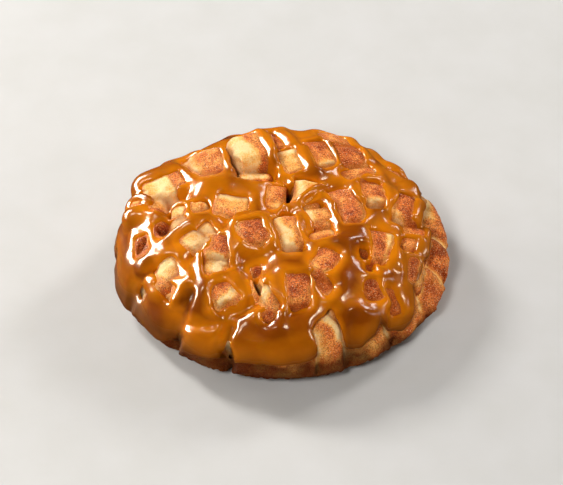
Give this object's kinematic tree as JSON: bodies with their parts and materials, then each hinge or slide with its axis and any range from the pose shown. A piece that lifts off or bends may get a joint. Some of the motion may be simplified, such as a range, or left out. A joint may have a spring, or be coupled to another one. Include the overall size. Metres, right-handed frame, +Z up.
{
  "type": "monkey bread",
  "caption": "Round, domed pull-apart loaf of heaped dough pieces, baked into one body in a flared round tin.",
  "frame": {"origin": "middle of the flat foot that the loaf rests on", "axes": "+Z up, -Y towards the front, +X to the right seen from the front"},
  "size_m": [0.2076, 0.2086, 0.0731],
  "materials": {
    "crust": "matt baked crust with cinnamon sugar",
    "caramel": "wet, glossy caramel sauce"
  },
  "bodies": {
    "root": {"loaf": "crust"}
  },
  "joints": []
}
